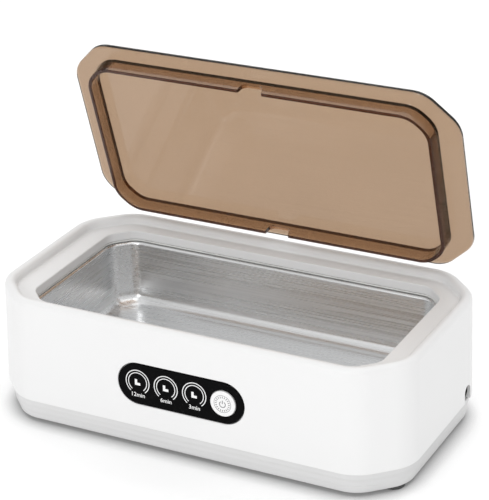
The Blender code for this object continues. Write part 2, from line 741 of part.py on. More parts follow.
def make_driver_board(material, screw_material):
    centre = (BOARD_CENTRE.x, BOARD_CENTRE.y, BOARD_Z + BOARD_SIZE.z / 2)
    board = box("driver_board", BOARD_SIZE, centre, material)
    hole = [circle(BOARD_SCREW_HOLE, BOARD_Z - MM), circle(BOARD_SCREW_HOLE, BOARD_TOP + MM)]
    cutter = helper_group("board_hole_cutter", [moved(hole, x, y) for x, y in standoff_places()])
    combine(board, "DIFFERENCE", [cutter])
    for index, (x, y) in enumerate(standoff_places(), 1):
        profile = [
            (BOARD_SCREW_RADIUS, BOARD_SCREW_TIP_Z),
            (BOARD_SCREW_RADIUS, PARTS_Z),
            (BOARD_SCREW_HEAD_RADIUS, PARTS_Z),
            (BOARD_SCREW_HEAD_RADIUS, PARTS_Z + BOARD_SCREW_HEAD),
        ]
        turned(f"board_screw_{index}", profile, screw_material, None, 12, (x, y, 0))


def make_driver_parts(palette):
    make_transformer(palette)
    can = [
        (CAPACITOR_RADIUS, 0),
        (CAPACITOR_RADIUS, CAPACITOR_HEIGHT - CAPACITOR_EDGE),
        (CAPACITOR_RADIUS - CAPACITOR_EDGE, CAPACITOR_HEIGHT),
    ]
    turned("input_capacitor", can, palette["dark_plastic"], None, 16, CAPACITOR_PLACE)
    film_centre = FILM_PLACE + Vector((0, 0, FILM_SIZE.z / 2))
    box("film_capacitor", FILM_SIZE, film_centre, palette["amber_plastic"], FILM_BEVEL)
    make_heat_sink(palette["aluminium"])
    transistor_centre = TRANSISTOR_PLACE + Vector((0, 0, TRANSISTOR_SIZE.z / 2))
    box("drive_transistor", TRANSISTOR_SIZE, transistor_centre, palette["dark_plastic"], PART_BEVEL)
    for name, y in HEADER_Y.items():
        centre = (HEADER_X, y, PARTS_Z + HEADER_SIZE.z / 2)
        box(f"{name}_header", HEADER_SIZE, centre, palette["cream_plastic"], PART_BEVEL)


def make_transformer(palette):
    place = (TRANSFORMER_X, 0, PARTS_Z)
    bottom = TRANSFORMER_FLANGE
    top = TRANSFORMER_HEIGHT - TRANSFORMER_FLANGE
    core = [
        (TRANSFORMER_RADIUS, 0),
        (TRANSFORMER_RADIUS, bottom),
        (TRANSFORMER_CORE_RADIUS, bottom),
        (TRANSFORMER_CORE_RADIUS, top),
        (TRANSFORMER_RADIUS, top),
        (TRANSFORMER_RADIUS, TRANSFORMER_HEIGHT),
    ]
    turned("transformer_core", core, palette["ferrite"], None, 24, place)
    radii = (WINDING_INNER_RADIUS, WINDING_OUTER_RADIUS)
    ring_solid("transformer_winding", *radii, bottom + GAP, top - GAP, palette["copper"], 24, place)


def make_heat_sink(material):
    """A back plate with five fins, drawn as one comb and extruded up."""
    left = -83.5 * MM
    fin = 1.6 * MM
    pitch = 3.6 * MM
    back = -15.2 * MM
    front = -12.6 * MM
    tip = -21 * MM
    section = [Vector((left + 4 * pitch + fin, front)), Vector((left, front))]
    for index in range(5):
        start = left + index * pitch
        section += [Vector((start, tip)), Vector((start + fin, tip))]
        if index < 4:
            section += [Vector((start + fin, back)), Vector((start + pitch, back))]
    rings = [[Vector((p.x, p.y, z)) for p in section] for z in (PARTS_Z, PARTS_Z + HEAT_SINK_HEIGHT)]
    return loft("heat_sink", rings, material)


def make_supply_jack(body_material, pin_material):
    nose_radius = JACK_NOTCH_RADIUS - GAP
    body = box("supply_jack", JACK_BODY, (JACK_BODY_X, JACK_Y, JACK_Z), body_material, PART_BEVEL)
    along_x = Matrix.Rotation(math.pi / 2, 3, "Y")

    def sideways(profile, sides):
        rings = [circle(radius, 0, sides) for radius, _ in profile]
        places = [Vector((x, JACK_Y, JACK_Z)) for _, x in profile]
        return [[along_x @ p + place for p in points] for points, place in zip(rings, places)]

    nose_start = JACK_BODY_X + JACK_BODY.x / 2 - MM
    nose = sideways([(nose_radius, nose_start), (nose_radius, JACK_FACE_X)], ROUND_SIDES)
    combine(body, "UNION", [helper_group("jack_nose_helper", [nose])])
    socket_end = JACK_FACE_X - JACK_SOCKET_DEPTH
    socket = [(JACK_SOCKET_RADIUS, socket_end), (JACK_SOCKET_RADIUS, JACK_FACE_X + MM)]
    socket = sideways(socket, ROUND_SIDES)
    combine(body, "DIFFERENCE", [helper_group("jack_socket_cutter", [socket])])
    pin = [(JACK_PIN_RADIUS, socket_end + GAP), (JACK_PIN_RADIUS, JACK_FACE_X - JACK_PIN_SET_BACK)]
    loft("supply_jack_pin", sideways(pin, 12), pin_material)


def make_transducer(piezo_material, bond_material):
    bond_top = TANK_FLOOR_Z - TANK_SHEET - GAP
    bond = [(PIEZO_RADIUS, bond_top - BOND_THICKNESS), (PIEZO_RADIUS, bond_top)]
    turned("transducer_bond", bond, bond_material, None, 28)
    disc = [(PIEZO_RADIUS, PIEZO_TOP_Z - PIEZO_THICKNESS), (PIEZO_RADIUS, PIEZO_TOP_Z)]
    turned("piezo_transducer", disc, piezo_material, None, 28)


def make_wires(palette):
    """Leads between the socket, the boards and the transducer. Their points are in millimetres."""
    header_top = (BOARD_TOP + 2 * GAP + HEADER_SIZE.z) / MM
    piezo_bottom = (PIEZO_TOP_Z - PIEZO_THICKNESS - GAP) / MM
    jack_y = JACK_Y / MM
    jack_z = JACK_Z / MM
    jack_back = (JACK_BODY_X - JACK_BODY.x / 2 - GAP) / MM
    for name, side in (("red", 1.5), ("black", -1.5)):
        supply = [
            (jack_back, jack_y + side, jack_z),
            (jack_back - 3, jack_y + side, jack_z),
            (80, 28 + side, 12.5),
            (68, 30 + side, 6.8),
            (40, 31 + side, 5.6),
            (4, 31 + side, 5.6),
            (-13, 30 + side, 9),
            (-24 - 0.6 * side, 25 + 0.6 * side, 14),
            (-29 - side, 19 + 0.3 * side, 17.6),
            (-30 - side, 15.3, 17.2),
            (-30 - side, 15, header_top),
        ]
        tube(f"supply_lead_{name}", supply, SUPPLY_LEAD_RADIUS, palette[f"{name}_wire"])
        transducer = [
            (-13, 2 * side, piezo_bottom),
            (-13.2, 2 * side, piezo_bottom - 1.8),
            (-17, 1.8 * side, 12.4),
            (-22.5, 1.4 * side, 13.2),
            (-26.5, 1.1 * side, 16.8),
            (-29.8, side, 17.2),
            (-30, side, header_top),
        ]
        tube(f"transducer_lead_{name}", transducer, TRANSDUCER_LEAD_RADIUS, palette[f"{name}_wire"])
    display = [
        (4, -45.5, 26),
        (4, -44.2, 25.4),
        (3, -43.6, 19),
        (-4, -41, 9.5),
        (-14, -35, 6.6),
        (-22, -29, 8),
        (-27, -23, 13.4),
        (-29.6, -17.4, 17.4),
        (-30, -15.2, 17.2),
        (-30, -15, header_top),
    ]
    tube("display_cable", display, DISPLAY_CABLE_RADIUS, palette["grey_wire"])


def make_palette():
    return {
        "white_plastic": make_material("white_plastic", (0.87, 0.87, 0.86), 0.28),
        "grey_plastic": make_material("grey_plastic", (0.66, 0.66, 0.66), 0.42),
        "brown_lid": make_material("brown_lid", (0.35, 0.21, 0.12), 0.1, 0, 0.6),
        "black_gloss": make_material("black_gloss", (0.01, 0.01, 0.01), 0.08),
        "steel": make_material("steel", (0.62, 0.62, 0.63), 0.25, 1),
        "silicone": make_material("silicone", (0.8, 0.8, 0.78), 0.6),
        "rubber": make_material("rubber", (0.09, 0.09, 0.09), 0.8),
        "zinc": make_material("zinc", (0.55, 0.55, 0.56), 0.35, 1),
        "board": make_material("board", (0.03, 0.2, 0.08), 0.45),
        "lamp": make_material("lamp", (0.9, 0.92, 0.95), 0.3),
        "ferrite": make_material("ferrite", (0.05, 0.05, 0.05), 0.6),
        "copper": make_material("copper", (0.6, 0.27, 0.12), 0.35, 1),
        "brass": make_material("brass", (0.75, 0.58, 0.3), 0.3, 1),
        "dark_plastic": make_material("dark_plastic", (0.02, 0.02, 0.02), 0.45),
        "amber_plastic": make_material("amber_plastic", (0.5, 0.18, 0.03), 0.4),
        "cream_plastic": make_material("cream_plastic", (0.8, 0.76, 0.65), 0.45),
        "aluminium": make_material("aluminium", (0.7, 0.7, 0.71), 0.4, 1),
        "ceramic": make_material("ceramic", (0.75, 0.74, 0.7), 0.5),
        "bond": make_material("bond", (0.2, 0.2, 0.19), 0.6),
        "red_wire": make_material("red_wire", (0.5, 0.02, 0.02), 0.5),
        "black_wire": make_material("black_wire", (0.02, 0.02, 0.02), 0.5),
        "grey_wire": make_material("grey_wire", (0.4, 0.4, 0.4), 0.5),
    }


def main():
    clear_scene()
    palette = make_palette()
    frame = make_panel_frame()
    make_housing(palette["white_plastic"], frame)
    make_bottom_cover(palette["grey_plastic"])
    make_tank(palette["steel"])
    make_tank_seal(palette["silicone"])
    make_lid(palette["brown_lid"])
    make_panel(palette["black_gloss"], frame)
    plunger_top = make_button(palette["white_plastic"], palette["dark_plastic"], frame)
    make_switch(palette["dark_plastic"], frame, plunger_top)
    make_display(palette["board"], palette["lamp"], palette["zinc"], frame)
    make_feet_and_screws(palette["rubber"], palette["zinc"])
    make_driver_board(palette["board"], palette["zinc"])
    make_driver_parts(palette)
    make_supply_jack(palette["dark_plastic"], palette["brass"])
    make_transducer(palette["ceramic"], palette["bond"])
    make_wires(palette)


main()
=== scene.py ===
"""The looks of a bench-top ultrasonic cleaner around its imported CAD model.

Metres, with +Z up and the front towards -Y.
"""

import json
import math

import bmesh
import bpy
from mathutils import Matrix, Vector


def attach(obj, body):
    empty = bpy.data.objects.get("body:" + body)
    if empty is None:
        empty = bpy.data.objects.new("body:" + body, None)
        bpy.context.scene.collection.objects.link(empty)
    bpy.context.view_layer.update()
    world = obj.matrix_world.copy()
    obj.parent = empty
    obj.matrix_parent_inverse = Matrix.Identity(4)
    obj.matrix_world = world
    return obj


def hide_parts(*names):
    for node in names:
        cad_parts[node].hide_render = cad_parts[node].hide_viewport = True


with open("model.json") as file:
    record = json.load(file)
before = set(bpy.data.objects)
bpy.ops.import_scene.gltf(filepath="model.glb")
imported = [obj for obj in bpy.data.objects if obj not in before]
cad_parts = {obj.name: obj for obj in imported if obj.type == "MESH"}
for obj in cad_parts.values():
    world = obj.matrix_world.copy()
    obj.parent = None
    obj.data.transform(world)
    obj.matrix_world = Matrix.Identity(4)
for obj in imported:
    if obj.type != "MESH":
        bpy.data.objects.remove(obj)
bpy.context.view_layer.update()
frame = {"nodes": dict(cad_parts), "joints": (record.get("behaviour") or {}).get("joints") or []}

MM = 0.001
GAP = 0.3 * MM
CORNER_STEPS = 12
PILL_STEPS = 32
ROUND_SIDES = 64
POST_SIDES = 32
SCREW_SIDES = 24
JACK_SIDES = 48
PIN_SIDES = 32
SHARP_ANGLE = 32


# ---------------------------------------------------------------- sizes, as the CAD has them

BODY_LENGTH = 210 * MM
BODY_WIDTH = 114 * MM
BODY_HEIGHT = 63.4 * MM
BODY_CHAMFER = 19 * MM
BODY_BLEND = 20 * MM
PARTING_Z = 12.5 * MM
WALL_DRAFT = 0.9 * MM
WALL = 2.2 * MM
RIM_RADIUS = 2.75 * MM
RIM_Z = BODY_HEIGHT - RIM_RADIUS
SHELF_Z = BODY_HEIGHT - 4.3 * MM
SHELF_FALL = 0.35 * MM
SHELF_THICKNESS = 2.2 * MM

MOUTH_LENGTH = 175.8 * MM
MOUTH_WIDTH = 87.8 * MM
MOUTH_CHAMFER = 9.4 * MM
MOUTH_BLEND = 9 * MM
MOUTH_ROUND = 0.6 * MM
LIP_THICKNESS = 2 * MM
LIP_BOTTOM_Z = 54.4 * MM

SEAL_THICKNESS = 1 * MM
TANK_FLANGE_Z = LIP_BOTTOM_Z - 2 * GAP - SEAL_THICKNESS
TANK_FLANGE = 2.6 * MM
TANK_SHEET = 0.8 * MM
TANK_OUTSET = 0.4 * MM
TANK_DRAFT = 2 * MM
TANK_FLOOR_Z = 21 * MM
TANK_FLOOR_ROUND = 6 * MM

FOOT_HEIGHT = 2 * MM
COVER_TAPER = 1.4 * MM
COVER_RECESS = 1.2 * MM
COVER_FLOOR = 2.2 * MM
COVER_LIP = 1.3 * MM
COVER_LIP_TOP_Z = 15.6 * MM
COVER_EDGE = 0.8 * MM

LID_LENGTH = 196.6 * MM
LID_WIDTH = 100.4 * MM
LID_CHAMFER = 15.8 * MM
LID_BLEND = 14.5 * MM
LID_THICKNESS = 2.8 * MM
LID_PLUG_LENGTH = 175 * MM
LID_PLUG_WIDTH = 87 * MM
LID_PLUG_CHAMFER = 9.2 * MM
LID_PLUG_BLEND = 13 * MM
LID_PLUG_DEPTH = 7.8 * MM
LID_PLUG_DRAFT = 0.4 * MM
LID_PLUG_WALL = 1.8 * MM
LID_NOTCH_WIDTH = 10.6 * MM
LID_NOTCH_DEPTH = 5.2 * MM
LID_NOTCH_SHOULDER = 1.5 * MM
LID_NOTCH_TAPER = 2 * MM
LID_CLOSED_Z = SHELF_Z + GAP

PANEL_X = 0.5 * MM
PANEL_Z = 34.2 * MM
PANEL_LENGTH = 63.4 * MM
PANEL_HEIGHT = 20 * MM
PANEL_THICKNESS = 1.3 * MM
PANEL_PROUD = 0.3 * MM
WINDOW_LENGTH = 60 * MM
WINDOW_HEIGHT = 17 * MM
ICON_PITCH = 14.4 * MM
ICON_RISE = 1 * MM
BUTTON_X = 1.5 * ICON_PITCH
BUTTON_RADIUS = 6.2 * MM
BUTTON_COLLAR_RADIUS = 7.6 * MM
BUTTON_COLLAR_THICKNESS = 1.2 * MM
BUTTON_STEM_RADIUS = 1.5 * MM
BUTTON_STEM_LENGTH = 1.5 * MM
BUTTON_PROUD = 0.9 * MM

POST_X = 94.6 * MM
POST_Y = 35.5 * MM
POST_RADIUS = 3.6 * MM
POST_BOTTOM_Z = 7.3 * MM
POST_TOP_Z = SHELF_Z - 1.5 * MM
POST_HOLE_RADIUS = 1.75 * MM
POST_HOLE_TOP_Z = 18 * MM
BOSS_RADIUS = 6.2 * MM
BOSS_BORE_RADIUS = 3.4 * MM
BOSS_BORE_TOP_Z = 5 * MM
BOSS_HOLE_RADIUS = 1.8 * MM
FOOT_RADIUS = 5.5 * MM
FOOT_STEM_RADIUS = 3.1 * MM
FOOT_STEM_TOP_Z = 2.9 * MM

JACK_Y = 27.5 * MM
JACK_NOTCH_RADIUS = 3.5 * MM
JACK_Z = PARTING_Z + 8.3 * MM - JACK_NOTCH_RADIUS
JACK_BODY = Vector((11, 8, 8.4)) * MM
JACK_BODY_X = 94.5 * MM
JACK_BODY_BEVEL = 0.4 * MM
JACK_FACE_X = 103.6 * MM
JACK_SOCKET_RADIUS = 2.75 * MM
JACK_SOCKET_DEPTH = 9.5 * MM
JACK_PIN_RADIUS = 1.05 * MM
JACK_PIN_ROUND = 0.4 * MM
JACK_PIN_RECESS = 1.6 * MM

ARCH_BOTTOM_Z = 6 * MM
NOTCH_START_X = 100 * MM
NOTCH_END_X = 110 * MM
LIP_NOTCH_MARGIN = 1.5 * MM
LIP_NOTCH_START_X = 100.2 * MM
LIP_NOTCH_END_X = 103 * MM
LIP_NOTCH_RISE = 6.6 * MM


# ---------------------------------------------------------------- sizes that only the looks have

COVER_TOP_EDGE = 0.4 * MM
COVER_BANDS = 3
COVER_STEP = 0.3 * MM
COVER_STEP_HEIGHT = 0.3 * MM
COVER_STEP_BEVEL = 0.1 * MM
COVER_STEP_BEVEL_HEIGHT = 0.12 * MM

DIAL_RINGS = ((5.9 * MM, 0.42 * MM), (4.65 * MM, 0.38 * MM))
DIAL_START = -52
DIAL_END = 232
DIAL_STEPS = 64
HAND_LEFT = -1.4 * MM
HAND_RIGHT = 1.35 * MM
HAND_BOTTOM = -1.5 * MM
HAND_TOP = 1.4 * MM
UPRIGHT_HAND_WIDTH = 1.2 * MM
LEVEL_HAND_WIDTH = 1.25 * MM
CAPTION_SIZE = 2.95 * MM
CAPTION_DROP = 6.4 * MM

EMBLEM_RADIUS = 4.15 * MM
EMBLEM_LINE = 0.2 * MM
EMBLEM_TICKS = 20
EMBLEM_TICK_RADIUS = 3.25 * MM
EMBLEM_TICK_LENGTH = 0.9 * MM
EMBLEM_TICK_HALF_ANGLE = 3.2
EMBLEM_END = 359.5
EMBLEM_STEPS = 96
POWER_RADIUS = 1.45 * MM
POWER_LINE = 0.4 * MM
POWER_DROP = 0.2 * MM
POWER_STEM = 1.7 * MM
POWER_START = -235
POWER_END = 55
POWER_STEPS = 32


# ---------------------------------------------------------------- materials


class Paint:
    """A material with one Principled shader, and helpers that feed it procedural detail."""

    def __init__(self, name, colour, roughness, metallic=0.0, **sockets):
        self.material = bpy.data.materials.new(name)
        self.material.use_nodes = True
        self.tree = self.material.node_tree
        self.shader = self.tree.nodes["Principled BSDF"]
        self.set("Base Color", (*colour, 1))
        self.set("Roughness", roughness)
        self.set("Metallic", metallic)
        for socket, value in sockets.items():
            self.set(socket.replace("_", " "), value)
        self.colour = colour
        self.roughness = roughness

    def set(self, socket, value):
        self.shader.inputs[socket].default_value = value

    def link(self, source, target):
        self.tree.links.new(source, target)

    def place(self, stretch=(1, 1, 1)):
        """Object coordinates in metres, each axis multiplied by its stretch."""
        coords = self.tree.nodes.new("ShaderNodeTexCoord").outputs["Object"]
        mapping = self.tree.nodes.new("ShaderNodeMapping")
        mapping.inputs["Scale"].default_value = stretch
        self.link(coords, mapping.inputs["Vector"])
        return mapping.outputs["Vector"]

    def noise(self, scale, detail=3.0, stretch=(1, 1, 1)):
        node = self.tree.nodes.new("ShaderNodeTexNoise")
        node.inputs["Scale"].default_value = scale
        node.inputs["Detail"].default_value = detail
        self.link(self.place(stretch), node.inputs["Vector"])
        return node.outputs["Fac"]

    def turns(self, scale, distortion):
        """Bands one above the other, like the turns of a winding."""
        node = self.tree.nodes.new("ShaderNodeTexWave")
        node.bands_direction = "Z"
        node.inputs["Scale"].default_value = scale
        node.inputs["Distortion"].default_value = distortion
        self.link(self.place(), node.inputs["Vector"])
        return node.outputs["Fac"]

    def ramp(self, factor, low, high, start=0.3, end=0.7):
        """A number that goes from low to high as the factor goes from start to end."""
        node = self.tree.nodes.new("ShaderNodeMapRange")
        node.inputs["From Min"].default_value = start
        node.inputs["From Max"].default_value = end
        node.inputs["To Min"].default_value = low
        node.inputs["To Max"].default_value = high
        self.link(factor, node.inputs["Value"])
        return node.outputs["Result"]

    def mix(self, factor, first, second):
        """A colour between two, each a colour or a socket."""
        node = self.tree.nodes.new("ShaderNodeMix")
        node.data_type = "RGBA"
        self.link(factor, node.inputs["Factor"])
        for socket, colour in ((node.inputs[6], first), (node.inputs[7], second)):
            if isinstance(colour, tuple):
                socket.default_value = (*colour, 1)
            else:
                self.link(colour, socket)
        return node.outputs[2]

    def mottle(self, scale, change, detail=3.0, stretch=(1, 1, 1)):
        """Varies the colour by the given share, lighter and darker."""
        light = tuple(min(1.0, c * (1 + change)) for c in self.colour)
        dark = tuple(c * (1 - change) for c in self.colour)
        factor = self.ramp(self.noise(scale, detail, stretch), 0, 1)
        self.link(self.mix(factor, dark, light), self.shader.inputs["Base Color"])
        return self

    def polish(self, scale, change, detail=3.0, stretch=(1, 1, 1)):
        """Varies the roughness by the given amount, up and down."""
        factor = self.noise(scale, detail, stretch)
        result = self.ramp(factor, self.roughness - change, self.roughness + change)
        self.link(result, self.shader.inputs["Roughness"])
        return self

    def relief(self, height, depth):
        """Bumps from a height between 0 and 1, depth metres deep, over any bumps added before."""
        node = self.tree.nodes.new("ShaderNodeBump")
        node.inputs["Distance"].default_value = depth
        self.link(height, node.inputs["Height"])
        normal = self.shader.inputs["Normal"]
        if normal.is_linked:
            self.link(normal.links[0].from_socket, node.inputs["Normal"])
        self.link(node.outputs["Normal"], normal)
        return self

    def grain(self, scale, depth, detail=3.0, stretch=(1, 1, 1)):
        return self.relief(self.noise(scale, detail, stretch), depth)


def white_plastic():
    paint = Paint("moulded_white", (0.82, 0.82, 0.82), 0.34, IOR=1.45)
    return paint.mottle(12, 0.006, 1).polish(25, 0.03, 1).material


def grey_plastic():
    paint = Paint("moulded_grey", (0.68, 0.68, 0.68), 0.42, IOR=1.5)
    paint.mottle(8, 0.03, 3, (1, 1, 60)).polish(300, 0.05)
    return paint.grain(1500, 0.01 * MM).grain(5, 0.03 * MM, 2, (1, 1, 120)).material


def tinted_lid():
    """Clear brown plastic: the colour comes from how far light travels inside it."""
    paint = Paint("tinted_brown", (0.97, 0.96, 0.95), 0.03, IOR=1.3, Transmission_Weight=1.0)
    tint = paint.tree.nodes.new("ShaderNodeVolumeAbsorption")
    tint.inputs["Color"].default_value = (0.54, 0.34, 0.12, 1)
    tint.inputs["Density"].default_value = 540
    paint.link(tint.outputs["Volume"], paint.tree.nodes["Material Output"].inputs["Volume"])
    paint.set("Coat Weight", 0.4)
    return paint.mottle(18, 0.02, 2).polish(60, 0.01).material


def gloss_black():
    paint = Paint("panel_black", (0.0022, 0.0022, 0.0025), 0.1, Specular_IOR_Level=0.04)
    paint.mottle(90, 0.25).polish(400, 0.025)
    return paint.grain(900, 0.002 * MM).material


def printed_ink(name, colour):
    paint = Paint(name, colour, 0.5)
    return paint.mottle(1800, 0.04).polish(2200, 0.06).grain(4000, 0.004 * MM).material


def button_white():
    paint = Paint("button_white", (0.86, 0.86, 0.86), 0.34, IOR=1.5)
    return paint.mottle(120, 0.006).polish(500, 0.04).material


def brushed_steel():
    """Brush lines that run level round the walls and lengthways along the floor."""
    paint = Paint("brushed_steel", (0.78, 0.785, 0.79), 0.28, 1.0)
    tree = paint.tree
    coords = tree.nodes.new("ShaderNodeTexCoord")
    split = tree.nodes.new("ShaderNodeSeparateXYZ")
    paint.link(coords.outputs["Normal"], split.inputs[0])
    size = tree.nodes.new("ShaderNodeMath")
    size.operation = "ABSOLUTE"
    paint.link(split.outputs["X"], size.inputs[0])
    ends = paint.ramp(size.outputs[0], 0, 1, 0.6, 0.8)
    along = paint.noise(9, 4, (1, 120, 120))
    across = paint.noise(9, 4, (120, 1, 120))
    choice = tree.nodes.new("ShaderNodeMix")
    paint.link(ends, choice.inputs[0])
    paint.link(along, choice.inputs[2])
    paint.link(across, choice.inputs[3])
    lines = choice.outputs[0]
    colour = paint.mix(paint.ramp(lines, 0, 1), (0.72, 0.725, 0.73), (0.84, 0.845, 0.85))
    paint.link(colour, paint.shader.inputs["Base Color"])
    paint.link(paint.ramp(lines, 0.22, 0.36), paint.shader.inputs["Roughness"])
    return paint.relief(lines, 0.008 * MM).material


def soft_rubber(name, colour, roughness):
    paint = Paint(name, colour, roughness)
    return paint.mottle(160, 0.08).polish(500, 0.06).grain(1800, 0.02 * MM).material


def plated_metal(name, colour, roughness):
    paint = Paint(name, colour, roughness, 1.0)
    return paint.mottle(500, 0.06).polish(900, 0.08).grain(2500, 0.008 * MM).material


def moulded_part(name, colour, roughness):
    paint = Paint(name, colour, roughness)
    return paint.mottle(200, 0.05).polish(700, 0.06).grain(1800, 0.01 * MM).material


def solder_mask():
    """A green board with lighter copper runs under the mask."""
    paint = Paint("solder_mask", (0.02, 0.16, 0.07), 0.3, Coat_Weight=0.3)
    runs = paint.tree.nodes.new("ShaderNodeTexVoronoi")
    runs.distance = "MANHATTAN"
    runs.inputs["Scale"].default_value = 160
    paint.link(paint.place(), runs.inputs["Vector"])
    factor = paint.ramp(runs.outputs["Distance"], 1, 0, 0.42, 0.5)
    colour = paint.mix(factor, (0.012, 0.1, 0.045), (0.03, 0.24, 0.1))
    paint.link(colour, paint.shader.inputs["Base Color"])
    return paint.relief(factor, 0.03 * MM).polish(600, 0.04).material


def wound_copper():
    """Enamelled wire, laid in turns round the bobbin."""
    paint = Paint("wound_copper", (0.62, 0.26, 0.1), 0.3, 1.0)
    turns = paint.turns(650, 0.6)
    colour = paint.mix(turns, (0.3, 0.1, 0.03), (0.72, 0.32, 0.13))
    paint.link(colour, paint.shader.inputs["Base Color"])
    return paint.relief(turns, 0.1 * MM).polish(900, 0.06).material


def wire_sheath(name, colour):
    paint = Paint(name, colour, 0.42)
    return paint.mottle(300, 0.06).polish(600, 0.06).grain(2200, 0.01 * MM).material


def floor_paper():
    """A white ground, a little lit from inside, with a painted contact shadow: its colour darkens where
    the part stands close over it.
    """
    paint = Paint("pale_floor", (0.96, 0.96, 0.96), 0.85, Specular_IOR_Level=0.1)
    paint.set("Emission Color", (1, 1, 1, 1))
    paint.set("Emission Strength", 0.08)
    # Painted contact shadow: an ambient-occlusion test mixes the floor colour towards dark grey close
    # under the part.
    contact_shadow_ao = paint.tree.nodes.new("ShaderNodeAmbientOcclusion")
    contact_shadow_ao.inputs["Distance"].default_value = 14 * MM
    unshadowed_share = paint.ramp(contact_shadow_ao.outputs["AO"], 0, 1, 0.3, 0.78)
    colour = paint.mix(unshadowed_share, (0.44, 0.44, 0.44), paint.colour)
    paint.link(colour, paint.shader.inputs["Base Color"])
    return paint.polish(40, 0.05).grain(900, 0.01 * MM).material


# ---------------------------------------------------------------- shapes


def outline(length, width, chamfer, blend):
    """A rectangle with chamfered corners whose bends are arcs, anticlockwise from the front right."""
    x = length / 2
    y = width / 2
    corners = [
        Vector((x, -y + chamfer)),
        Vector((x, y - chamfer)),
        Vector((x - chamfer, y)),
        Vector((-x + chamfer, y)),
        Vector((-x, y - chamfer)),
        Vector((-x, -y + chamfer)),
        Vector((-x + chamfer, -y)),
        Vector((x - chamfer, -y)),
    ]
    points = []
    for index, corner in enumerate(corners):
        before = (corners[index - 1] - corner).normalized()
        after = (corners[(index + 1) % len(corners)] - corner).normalized()
        centre = corner + (before + after).normalized() * blend / math.cos(math.radians(22.5))
        start = math.radians(45 * (index - 1))
        for step in range(CORNER_STEPS + 1):
            angle = start + math.radians(45) * step / CORNER_STEPS
            points.append(centre + blend * Vector((math.cos(angle), math.sin(angle))))
    return points


def inset_ring(length, width, chamfer, blend, inset, z):
    """The outline moved in by inset on every side, its chamfer and arcs parallel to the first."""
    cut = chamfer - inset * (2 - math.sqrt(2))
    points = outline(length - 2 * inset, width - 2 * inset, cut, max(blend - inset, MM))
    return [Vector((p.x, p.y, z)) for p in points]


def cover_ring(inset, z):
    return inset_ring(BODY_LENGTH, BODY_WIDTH, BODY_CHAMFER, BODY_BLEND, inset, z)


def body_ring(inset, z):
    """The housing's plan at height z, with the draft taken in, moved in by inset."""
    draft = WALL_DRAFT * (z - PARTING_Z) / (RIM_Z - PARTING_Z)
    return cover_ring(inset + draft, z)


def rim_ring(inset, z):
    length = BODY_LENGTH - 2 * WALL_DRAFT
    width = BODY_WIDTH - 2 * WALL_DRAFT
    return inset_ring(length, width, BODY_CHAMFER, BODY_BLEND, inset, z)


def mouth_ring(grow, z):
    return inset_ring(MOUTH_LENGTH, MOUTH_WIDTH, MOUTH_CHAMFER, MOUTH_BLEND, -grow, z)


def plate_ring(inset, z):
    return inset_ring(LID_LENGTH, LID_WIDTH, LID_CHAMFER, LID_BLEND, inset, LID_CLOSED_Z + z)


def plug_ring(inset, z):
    size = (LID_PLUG_LENGTH, LID_PLUG_WIDTH, LID_PLUG_CHAMFER, LID_PLUG_BLEND)
    return inset_ring(*size, inset, LID_CLOSED_Z + z)


def arc(centre, radius, start, end, steps):
    """Points (a, b) on an arc between two angles in degrees, both ends included."""
    points = []
    for step in range(steps + 1):
        angle = math.radians(start + (end - start) * step / steps)
        points.append((centre[0] + radius * math.cos(angle), centre[1] + radius * math.sin(angle)))
    return points


def rounded(ring, inset, z, radius, start, end, steps):
    """Rings round an edge whose arc centre is at (inset, z), in the plane across the wall."""
    return [ring(i, h) for i, h in arc((inset, z), radius, start, end, steps)]


def circle(radius, z, sides=ROUND_SIDES):
    angles = (2 * math.pi * i / sides for i in range(sides))
    return [Vector((radius * math.cos(a), radius * math.sin(a), z)) for a in angles]


def pill(length, height, z):
    """A bar with half-round ends, anticlockwise, in the plane at z."""
    radius = height / 2
    reach = length / 2 - radius
    right = arc((reach, 0), radius, -90, 90, PILL_STEPS)
    left = arc((-reach, 0), radius, 90, 270, PILL_STEPS)
    return [Vector((x, y, z)) for x, y in right + left]


def add_loft(bm, rings, loop=False):
    """Faces between rings of equal length: closed into a loop, or capped at both ends."""
    rows = [[bm.verts.new(point) for point in points] for points in rings]
    pairs = list(zip(rows, rows[1:]))
    if loop:
        pairs.append((rows[-1], rows[0]))
    for lower, upper in pairs:
        for i in range(len(lower)):
            j = (i + 1) % len(lower)
            bm.faces.new((lower[i], lower[j], upper[j], upper[i]))
    if not loop:
        bm.faces.new(list(reversed(rows[0])))
        bm.faces.new(rows[-1])


def add_object(name, bm, material=None, matrix=None):
    """A finished bmesh as an object whose faces point out, moved by the matrix."""
    bmesh.ops.recalc_face_normals(bm, faces=bm.faces)
    mesh = bpy.data.meshes.new(name)
    bm.to_mesh(mesh)
    bm.free()
    if matrix is not None:
        mesh.transform(matrix)
    if material is not None:
        mesh.materials.append(material)
    obj = bpy.data.objects.new(name, mesh)
    bpy.context.scene.collection.objects.link(obj)
    return obj


def loft(name, rings, material=None, loop=False, matrix=None):
    bm = bmesh.new()
    add_loft(bm, rings, loop)
    return add_object(name, bm, material, matrix)


def turned(name, profile, material, matrix):
    """A round solid on Z from (radius, z) pairs, bottom to top."""
    return loft(name, [circle(radius, z) for radius, z in profile], material, False, matrix)


def group(name, solids, matrix=None):
    """Separate closed solids in one mesh, each given as its list of rings."""
    bm = bmesh.new()
    for rings in solids:
        add_loft(bm, rings)
    return add_object(name, bm, None, matrix)


def moved(rings, x, y):
    return [[point + Vector((x, y, 0)) for point in points] for points in rings]


def applied(obj):
    """Bakes the object's modifiers into its mesh."""
    graph = bpy.context.evaluated_depsgraph_get()
    mesh = bpy.data.meshes.new_from_object(obj.evaluated_get(graph))
    obj.modifiers.clear()
    obj.data = mesh
    return obj


def carve(target, **steps):
    """Joins helpers to the target or cuts them from it, then removes the helpers."""
    for operation, helpers in steps.items():
        for helper in helpers:
            modifier = target.modifiers.new(helper.name, "BOOLEAN")
            modifier.operation = operation.upper()
            modifier.object = helper
    applied(target)
    for helpers in steps.values():
        for helper in helpers:
            bpy.data.objects.remove(helper, do_unlink=True)
    return target


